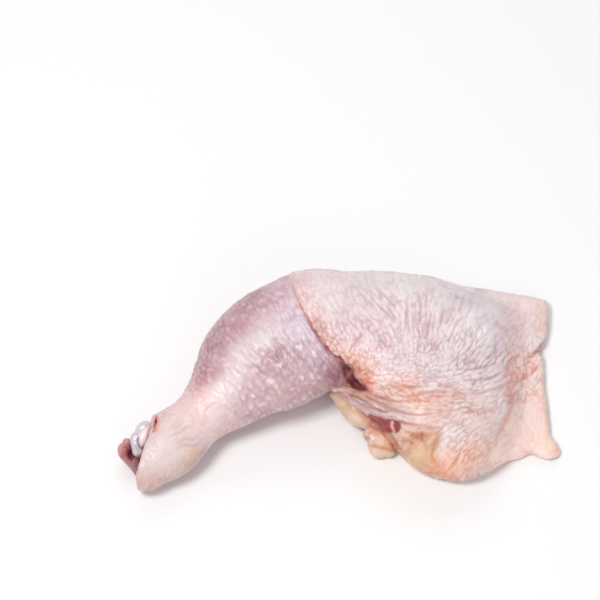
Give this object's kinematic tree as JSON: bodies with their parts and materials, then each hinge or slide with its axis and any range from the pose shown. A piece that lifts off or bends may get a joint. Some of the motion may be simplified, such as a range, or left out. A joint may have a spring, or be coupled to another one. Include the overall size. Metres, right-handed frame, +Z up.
{
  "type": "raw chicken leg quarter",
  "caption": "Raw skin-on chicken leg quarter lying skin side up: drumstick and thigh in one piece, a loose skin flap, cut hock end, and fat along the thigh's edge.",
  "frame": {"origin": "on the surface the leg lies on, under the middle of its box", "axes": "+X from the hock end towards the skin flap behind the thigh, +Y across the leg towards the knee's outer side, +Z up out of the skin side"},
  "size_m": [0.209, 0.1206, 0.0472],
  "materials": {
    "skin": "moist pale pink and lavender skin, satin sheen",
    "cartilage": "wet bluish white cartilage",
    "red_meat": "wet dark red meat and tendon",
    "fat": "soft glossy pale yellow fat"
  },
  "bodies": {
    "root": {"leg_meat_and_skin": "skin", "hock_cartilage": "cartilage", "hock_tendon": "red_meat", "fat_lobe_upper": "fat", "fat_lobe_lower": "fat"}
  },
  "joints": []
}
